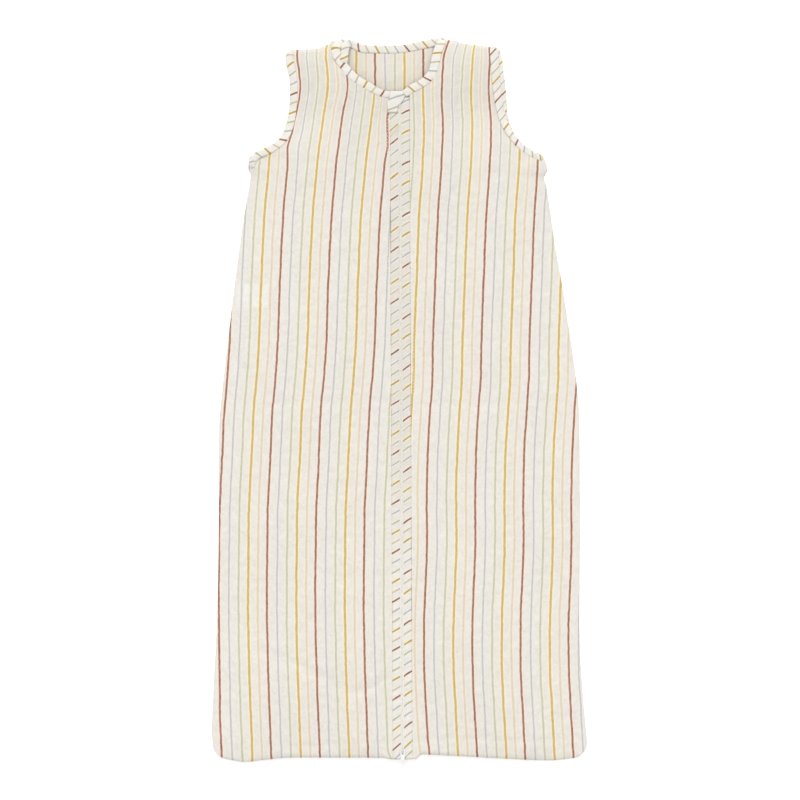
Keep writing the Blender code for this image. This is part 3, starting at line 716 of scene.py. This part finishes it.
def make_back(material):
    """The back, flat on the surface with a few low waves. Its inside is its upper face."""
    inset = 0.9
    rows = spaced(HEM_LEVEL, BACK_TOP, 4.0, EDGE)
    shares = np.linspace(-1, 1, 93)
    points = []
    for y in rows:
        ends = {s: outer_x(s, y, arm_back_lines) - s * inset for s in (-1, 1)}
        for share in shares:
            x = ends[-1] + (ends[1] - ends[-1]) * (share + 1) / 2
            at = y + (hem_line(x) - HEM_LEVEL + inset) * ease((HEM_LEVEL + HEM_BLEND - y) / HEM_BLEND)
            at += (back_top(x) - BACK_TOP) * ease((y - BACK_TOP + TOP_BLEND) / TOP_BLEND)
            edge = min(abs(x - ends[-1]), abs(x - ends[1]), at - hem_line(x))
            wave = 0.45 + 0.45 * ripple(x, at, 45, 80, 21)
            z = back_height(x, at) + ease(edge / 12) * (wave + 0.2 * ripple(x, at, 6, 5, 22))
            points.append((x, at, z))
    points = np.array(points)
    counts = [(back_count(x, y), y * MM / PITCH) for x, y, _ in points]
    faces = grid_faces(len(rows), len(shares))
    piece = new_piece("back", points * MM, faces, counts, material, "muslin", "back_panel")
    thicken(piece, GAUZE)
    return piece


back_neck_line = level(BACK_NECK)


def back_top(x):
    """Top edge of the back: along the shoulders, and inside the binding at the neck."""
    if -62 < x < 45:
        return back_neck_line(x) - 0.5
    return shoulder_line(x) - 1.2


def strip_piece(name, runs, material, slot, *replaced):
    """Folded cloth strips joined into one piece. Each run is (centres, outward directions, widths, thicknesses,
    start count, counts per mm along, counts per mm across there), in mm; its section is a soft flat oval."""
    section = []
    for k in range(20):
        a = 2 * math.pi * k / 20
        c, s = math.cos(a), math.sin(a)
        section.append((math.copysign(abs(c) ** 0.72, c), math.copysign(abs(s) ** 0.82, s)))
    points, counts, faces = [], [], []
    for centres, outward, widths, thick, start, along, slants in runs:
        base, count = len(points), len(centres)
        length = np.concatenate([[0], np.cumsum(np.linalg.norm(np.diff(centres, axis=0), axis=1))])
        tangents = np.gradient(centres, axis=0)
        for i in range(count):
            tangent = Vector(tangents[i]).normalized()
            side = Vector(outward[i])
            side = (side - tangent * side.dot(tangent)).normalized()
            up = tangent.cross(side)
            if up.z < 0:
                up = -up
            end = min(i, count - 1 - i)
            close = 1.0 if end > 2 else (0.35, 0.75, 0.93)[end]
            ruffle = 1 + 0.10 * ripple(length[i], 0, 4.2, 1, start + 0.37)
            for c, s in section:
                w, t = widths[i] / 2 * (0.8 + 0.2 * close), thick / 2 * close * ruffle
                edge = 0.22 * ripple(length[i], c * 3, 5.5, 2, start + 3.1)
                p = Vector(centres[i]) + side * (c * w + edge * abs(c)) + up * (s * t)
                points.append(p)
                across = c * w if s >= 0 else math.copysign(2 * w - abs(c * w), c) * 0.98
                counts.append(
                    (start + length[i] * along + across * slants[i], length[i] * MM / PITCH + across * 0.05)
                )
        for f in grid_faces(count, len(section), wrap=True):
            faces.append(tuple(base + v for v in f))
        faces.append(tuple(base + v for v in range(len(section) - 1, -1, -1)))
        faces.append(tuple(base + (count - 1) * len(section) + v for v in range(len(section))))
    piece = new_piece(name, np.array(points) * MM, faces, counts, material, slot, *replaced)
    bm = bmesh.new()
    bm.from_mesh(piece.data)
    bmesh.ops.recalc_face_normals(bm, faces=bm.faces)
    bm.to_mesh(piece.data)
    bm.free()
    return piece


def along_path(value, plan):
    """A number, or (y, number) points, as one number for each point of the path."""
    if isinstance(value, float):
        return np.full(len(plan), value)
    at = level(value)
    return np.array([at(y) for _, y in plan])


def run_along(path, heights, outward_sign, width, thick, start, spacing, slant, on_edge=False):
    """One strip run over a plan path: heights(x, y) gives z; outward_sign turns the width to the cloth side.
    Width and slant are numbers, or (y, number) points; a path on_edge is the strip's finished edge."""
    plan = spline(path, 1.3)
    widths, slants = along_path(width, plan), along_path(slant, plan)
    tangents = np.gradient(plan, axis=0)
    tangents /= np.linalg.norm(tangents, axis=1)[:, None]
    out = np.stack([tangents[:, 1], -tangents[:, 0]], 1) * outward_sign
    if on_edge:
        plan = plan + out * (widths / 2 - 0.1)[:, None]
    centres = np.array([(x, y, heights(x, y)) for x, y in plan])
    outward = []
    for (x, y), (ox, oy) in zip(plan, out):
        rise = heights(x + ox, y + oy) - heights(x - ox, y - oy)
        outward.append((ox, oy, max(min(rise / 2, 0.8), -0.8)))
    return centres, outward, widths, thick, start, 1 / spacing, slants / spacing


NECK_THICK, ARM_THICK, BACK_THICK = 2.4, 2.5, 2.2  # of the bindings, in mm, at the front and on the back's edges


def make_neck(material):
    """Binding round the neck: both front branches, and the back seen from its inside."""

    def front(sign):
        def height(x, y):
            over = min(max((y - 338) / 15.5, 0), 1)
            z = arch(sign, x, min(y, 338)) - 0.1
            return 3.0 + (z - 3.0) * math.sqrt(max(1 - over**2, 0))
        return height

    def back(x, y):
        z = back_height(x, y - 5) + 0.4
        over = front(-1)(x, y) + 0.2 + 1.4 * ease((y - 329) / 7)
        return z + max(over - z, 0) * ease((-46 - x) / 5)

    runs = [
        run_along(LEFT_NECK, front(-1), -1, LEFT_NECK_WIDTH, NECK_THICK, 1.65, -9.6, LEFT_NECK_SLANT),
        run_along(RIGHT_NECK, front(1), 1, RIGHT_NECK_WIDTH, NECK_THICK, 1.65, 9.2, -0.35),
        run_along(BACK_NECK, back, 1, 7.7, BACK_THICK, 3.64, -9.4, -0.55),
    ]
    return strip_piece("neck_bias", runs, material, "bias_binding", "neck_binding")


def make_armhole(side, sign, material):
    """Front edge over back edge, joined at the armpit and the shoulder."""

    def front(x, y):
        return arch(sign, x, min(max(y, ARMPIT_Y + 1), 343)) + 0.45

    def back(x, y):
        return back_height(x, y) + 0.3

    if sign < 0:
        front_run = (LEFT_ARM_STRIP, front, 1, LEFT_ARM_WIDTH, ARM_THICK, 5.36, 9.5, -0.45)
        back_run = (LEFT_ARM_BACK, back, 1, 7.2, BACK_THICK, 4.6, -9.5, 0.5)
    else:
        front_run = (RIGHT_ARM, front, -1, RIGHT_ARM_WIDTH, ARM_THICK, 3.27, -9.36, RIGHT_ARM_SLANT)
        back_run = (RIGHT_ARM_BACK, back, -1, 7.2, BACK_THICK, 1.66, 9.6, 0.85)
    runs = [run_along(*run, on_edge=True) for run in (front_run, back_run)]
    return strip_piece(f"armhole_bias_{side}", runs, material, "bias_binding", f"armhole_binding_{side}")


def zip_point(x, along, z):
    """A place beside the zip, in mm in the zip's frame, as a place in metres."""
    return zip_frame @ Vector((x * MM, along * MM, z * MM))


BAND_PROFILE = (  # (x, z) from the outer edge over the top to the lip's tip, and back underneath
    (9.45, 0.62), (9.72, 1.0), (9.7, 1.7), (9.4, 2.3), (8.7, 2.72), (7.4, 3.02), (5.6, 3.2), (3.8, 3.22),
    (2.6, 3.08), (1.98, 2.88), (1.74, 2.74), (1.5, 2.84), (1.15, 2.88), (0.78, 2.8), (0.54, 2.68), (0.47, 2.56),
    (0.6, 2.45), (2.2, 2.42), (3.2, 2.42), (3.85, 2.34), (4.1, 1.9), (4.25, 1.0), (4.7, 0.62), (7.5, 0.55),
)
BAND_HINGE = 0.3  # height of the line its hem end rolls about
BAND_GROOVE = 10  # the profile's point where the striped strip ends and the plain lip starts


def make_band(side, sign, material, plain):
    """The folded bias strip over a tape; its plain lip overhangs the teeth and leaves the slider a tunnel."""
    turned = [(2.0, 90 * k / 6) for k in range(6, 0, -1)]  # the hem end rolls down in a quarter turn
    places = turned + [(along, 0.0) for along in spaced(2.0, ZIP_LENGTH / MM - 0.5, 1.6, (0.3, 0.8, 1.5))]
    points, counts = [], []
    for along, roll in places:
        end = places[-1][0] - along
        roll = math.radians(roll)
        for x, z in BAND_PROFILE:
            outer = ease((x - 4.3) / 5)
            wander = outer * (0.5 * ripple(along, 0, 60, 1, 5 + sign) + 0.25 * ripple(along, 0, 9, 1, 8 + sign))
            puff = outer * 0.3 * ripple(along, x, 7, 5, 12 + sign) if z > 2.2 else 0
            round_off = 0.25 * (1 - ease(end / 1.2)) * (z > 2.4)
            high = z + puff - round_off - BAND_HINGE
            at = along - 0.6 * high * math.sin(roll)
            points.append(zip_point(sign * (x + wander), at, BAND_HINGE + high * math.cos(roll)))
            # Dashes rise to the right; the right band's flatten towards its outer edge
            from_middle = sign * (x - 5.6)
            y = at + ZIP_Y / MM
            rise = slopes[sign](y) * from_middle - (0.024 * from_middle**2 if sign > 0 else 0)
            counts.append((dashes[sign](y - rise), along * MM / PITCH))
    columns = len(BAND_PROFILE)
    faces = grid_faces(len(places), columns, wrap=True, flip=sign > 0)
    faces.append(tuple(range(columns)) if sign > 0 else tuple(range(columns - 1, -1, -1)))
    last = [(len(places) - 1) * columns + k for k in range(columns)]
    faces.append(tuple(reversed(last)) if sign > 0 else tuple(last))
    piece = new_piece(
        f"zip_bias_{side}", points, faces, counts, material, "bias_binding", f"zip_band_{side}"
    )
    piece.data.materials.append(plain)
    for polygon in piece.data.polygons:
        lowest = min(v % columns for v in polygon.vertices)
        if BAND_GROOVE <= lowest < columns - 1:
            polygon.material_index = 1
    return piece


def make_coil(side, sign, material):
    """One row of a nylon zip: a flattened spiral whose heads meet the other row's."""
    pitch, start = 1.45, 4.6
    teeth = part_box(f"zip_teeth_{side}")
    length = (teeth[1][1] - teeth[0][1]) / MM
    turns = int(length / pitch)
    per_turn = 12
    curve = bpy.data.curves.new(f"zip_coil_{side}", "CURVE")
    curve.dimensions = "3D"
    line = curve.splines.new("POLY")
    count = turns * per_turn
    line.points.add(count - 1)
    for i in range(count):
        a = 2 * math.pi * i / per_turn
        x = 1.16 - 1.26 * math.copysign(abs(math.cos(a)) ** 0.5, math.cos(a))
        z = 1.0 * math.copysign(abs(math.sin(a)) ** 0.5, math.sin(a))
        y = start + pitch * (i / per_turn + (0.5 if sign > 0 else 0))
        line.points[i].co = (*zip_point(sign * x, y, z), 1.0)
    curve.bevel_depth = 0.34 * MM
    curve.bevel_resolution = 1
    curve.use_fill_caps = True
    helper = bpy.data.objects.new(curve.name, curve)
    bpy.context.scene.collection.objects.link(helper)
    graph = bpy.context.evaluated_depsgraph_get()
    mesh = bpy.data.meshes.new_from_object(helper.evaluated_get(graph))
    bpy.data.objects.remove(helper)
    mesh.materials.clear()
    mesh.materials.append(material)
    made = bpy.data.objects.new(f"zip_coil_{side}", mesh)
    bpy.context.scene.collection.objects.link(made)
    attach(made, "bag")
    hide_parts(f"zip_teeth_{side}")
    return made


def make_garage(material):
    """The folded tab over the zip's start: a soft flap, thicker at its fold, hinged on its left edge."""
    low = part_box("zip_garage")[0]
    x0, length = low[0] / MM - 0.6, 20.6
    y0 = (low[1] - ZIP_Y) / MM / math.cos(ZIP_SLOPE) + 4.2

    def right(v):
        return np.interp(v, [0, 0.2, 0.37, 0.44, 0.6, 0.78, 0.93, 1], [-2.4, -1.9, -1.3, 1.4, 3.9, 4.9, 4.2, 2.2])

    def left(v):
        return x0 + np.interp(v, [0, 0.5, 0.72, 0.95, 1], [0, 0, 2.2, 2.8, 3.6])

    rows, columns = 26, 22
    upper, lower, counts = [], [], []
    for r in range(rows):
        v = r / (rows - 1)
        for c in range(columns):
            u = c / (columns - 1)
            wide = right(v) - left(v)
            x = left(v) + wide * u
            y = y0 + length * v
            rim = min(u * wide, (1 - u) * wide, v * length, (1 - v) * length)
            swell = math.sqrt(1 - (1 - min(rim / 1.6, 1)) ** 2)
            dimple = 0.22 * math.exp(-(((1 - u) * wide - 2.2) ** 2) / 0.5)
            z = 4.42 + 0.62 * swell - dimple * swell + 0.12 * ripple(x, y, 4, 4, 61)
            upper.append(zip_point(x, y, z))
            lower.append(zip_point(x, y, 4.38 - 0.55 * swell))
            counts.append((1.0 - (y - y0 - 15.0 - 0.33 * (x + 3)) / 9.9, x * MM / PITCH))
    points = upper + lower
    half = len(upper)
    faces = grid_faces(rows, columns)
    faces += [tuple(half + v for v in reversed(f)) for f in grid_faces(rows, columns)]
    rim = list(range(columns))
    rim += [r * columns + columns - 1 for r in range(1, rows)]
    rim += [(rows - 1) * columns + c for c in range(columns - 2, -1, -1)]
    rim += [r * columns for r in range(rows - 2, 0, -1)]
    faces += [(b, a, half + a, half + b) for a, b in zip(rim, rim[1:] + rim[:1])]
    return new_piece(
        "garage_tab", points, faces, counts * 2, material, "bias_binding", "zip_garage", body="garage"
    )


def make_label(name, node, material, curl):
    """A satin ribbon label, blank, lying in the bag with its free end lifting a little."""
    low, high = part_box(node)
    columns, rows = 18, 12
    points = []
    for r in range(rows):
        for c in range(columns):
            u, v = c / (columns - 1), r / (rows - 1)
            x = low[0] + (high[0] - low[0]) * u
            y = low[1] + (high[1] - low[1]) * v
            z = high[2] + 1.3 * MM + curl * MM * u * u + 0.25 * MM * math.sin(3.1 * u + 2 * v)
            points.append((x, y, z))
    piece = new_piece(name, points, grid_faces(rows, columns), None, material, "label_satin", node)
    thicken(piece, 0.25 * MM)
    return piece


STITCH, STITCH_GAP, STITCH_DIVE = 2.3, 0.9, 0.42  # length, space to the next, and how deep its ends go in, in mm
STITCH_RADII = (0.10, 0.2, 0.22, 0.2, 0.10)  # of its rings, from one end to the other
STITCH_CORNERS = 6


def stitch_row(name, row, material):
    """A row of machine stitches as one piece, along places in metres on the cloth."""
    points, faces = [], []
    row = np.array([tuple(p) for p in row])
    at = np.concatenate([[0], np.cumsum(np.linalg.norm(np.diff(row, axis=0), axis=1))]) / MM
    begin = 0.6
    rings = len(STITCH_RADII)
    while begin + STITCH < at[-1]:
        base = len(points)
        for k, radius in enumerate(STITCH_RADII):
            s = begin + STITCH * k / 4
            centre = Vector([np.interp(s, at, row[:, i]) for i in range(3)])
            ahead = Vector([np.interp(s + 0.3, at, row[:, i]) for i in range(3)]) - centre
            side = ahead.cross(Vector((0, 0, 1))).normalized()
            dive = STITCH_DIVE * (1 - math.sin(math.pi * k / 4)) * MM
            size = radius * MM
            for corner in range(STITCH_CORNERS):
                a = math.pi / 3 * corner
                lift = Vector((0, 0, math.sin(a) * size - dive))
                points.append(centre + side * math.cos(a) * size + lift)
        for f in grid_faces(rings, STITCH_CORNERS, wrap=True):
            faces.append(tuple(base + v for v in f))
        faces.append(tuple(base + v for v in range(STITCH_CORNERS - 1, -1, -1)))
        faces.append(tuple(base + (rings - 1) * STITCH_CORNERS + v for v in range(STITCH_CORNERS)))
        begin += STITCH + STITCH_GAP
    new_piece(name, points, faces, None, material, "bias_binding")


def make_stitches(material):
    """Topstitching: one row on each front beside its zip band, and one along each band's outer edge."""
    for side, sign in (("left", -1), ("right", 1)):
        row = []
        for y in np.arange(-338.0, 292.0, 2.0):
            x = sign * (PANEL_INNER + 2.6 + 0.15 * ripple(y, 0, 20, 1, 70 + sign))
            row.append((x * MM, y * MM, (front_height(sign, x, y) + 0.12) * MM))
        stitch_row(f"zip_topstitch_{side}", row, material)
        band_row = []
        for y in np.arange(6.0, ZIP_LENGTH / MM - 3, 2.0):
            band_row.append(zip_point(sign * 8.5, y, 2.8))
        stitch_row(f"band_topstitch_{side}", band_row, material)


def make_stage():
    bpy.ops.mesh.primitive_plane_add(size=8.0, location=(0, 0, -0.0002))
    floor = bpy.context.object
    floor.name = "floor"
    n = Nodes("paper_floor")
    n.look(Base_Color=(0.93, 0.93, 0.93), Roughness=0.9, Specular_IOR_Level=0.1)
    n.look(Emission_Color=(1.0, 1.0, 1.0), Emission_Strength=0.22)
    floor.data.materials.append(n.material)


def add_sun(name, rotation, strength, softness):
    lamp = bpy.data.lights.new(name, "SUN")
    lamp.energy = strength
    lamp.angle = math.radians(softness)
    made = bpy.data.objects.new(name, lamp)
    made.rotation_euler = [math.radians(a) for a in rotation]
    bpy.context.scene.collection.objects.link(made)


def make_light():
    """An even white studio, and a soft key from the neck end that models the relief."""
    world = bpy.data.worlds.new("studio")
    world.use_nodes = True
    world.node_tree.nodes["Background"].inputs["Color"].default_value = (1.0, 1.0, 1.0, 1.0)
    world.node_tree.nodes["Background"].inputs["Strength"].default_value = 0.55
    bpy.context.scene.world = world
    add_sun("key", (-44, -2, 0), 1.45, 22)
    add_sun("overhead", (0, 0, 0), 0.80, 50)
    bpy.context.scene.view_settings.view_transform = "Standard"


def make_camera():
    """Straight above the bag, far enough off to look flat."""
    camera = bpy.data.objects.new("camera", bpy.data.cameras.new("camera"))
    distance, across = 5.0, 0.7776  # metres: height over the floor, and width of the floor in the picture
    camera.data.lens = camera.data.sensor_width * distance / across
    camera.data.clip_end = 50
    camera.location = (-0.001, 0.0029, distance)
    camera.rotation_euler = (0, 0, math.radians(-0.25))
    bpy.context.scene.collection.objects.link(camera)
    bpy.context.scene.camera = camera


def plan_area(piece):
    """Flat area of a cloth piece: its upper face seen from above, and the little that its relief takes up."""
    up = sum(p.area * abs(p.normal.z) for p in piece.data.polygons) / 2
    return up * 1.02


muslin = muslin_material("muslin")
muslin_left = muslin_material("muslin_over_label", label_shows=True)
# Painted light: the back's inside gets a lighter ground than the fronts, to lift the shade it lies in inside the
# neck
lightened_inside_muslin = muslin_material("muslin_inside_lightened", base=(247, 242, 232))
bias = muslin_material("bias_muslin", base=(242, 239, 232), fine=0.78)
thread, tape, nylon = thread_material(), tape_material(), nylon_glow_material()
lacquer, satin = lacquer_material(), satin_material()

front_left = make_front("left", -1, muslin_left)
front_right = make_front("right", 1, muslin)
back = make_back(lightened_inside_muslin)
neck = make_neck(bias)
arms = [make_armhole(side, sign, bias) for side, sign in (("left", -1), ("right", 1))]
plain = muslin_material("bias_plain", base=(244, 241, 235), striped=False)
for side, sign in (("left", -1), ("right", 1)):
    make_band(side, sign, bias, plain)
for side, sign in (("left", -1), ("right", 1)):
    make_coil(side, sign, nylon)
make_garage(bias)
make_label("care_ribbon", "care_label", satin, 1.6)
make_label("size_ribbon", "size_label", satin, 0.9)
make_stitches(thread)

for node, material in (
    ("zip_tape_left", tape), ("zip_tape_right", tape), ("zip_end_stop_left", nylon), ("zip_end_stop_right", nylon),
    ("zip_start_box", nylon), ("zip_start_pin", nylon), ("zip_slider", lacquer), ("zip_pull", lacquer),
):
    for slot in frame["nodes"][node].material_slots:
        slot.material = material

for piece, trim in ((front_left, [arms[0]]), (front_right, [arms[1]]), (back, [neck])):
    wide, long = piece.dimensions[0], piece.dimensions[1]
    min(plan_area(piece), wide * long)
    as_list(trim)

make_stage()
make_light()
make_camera()
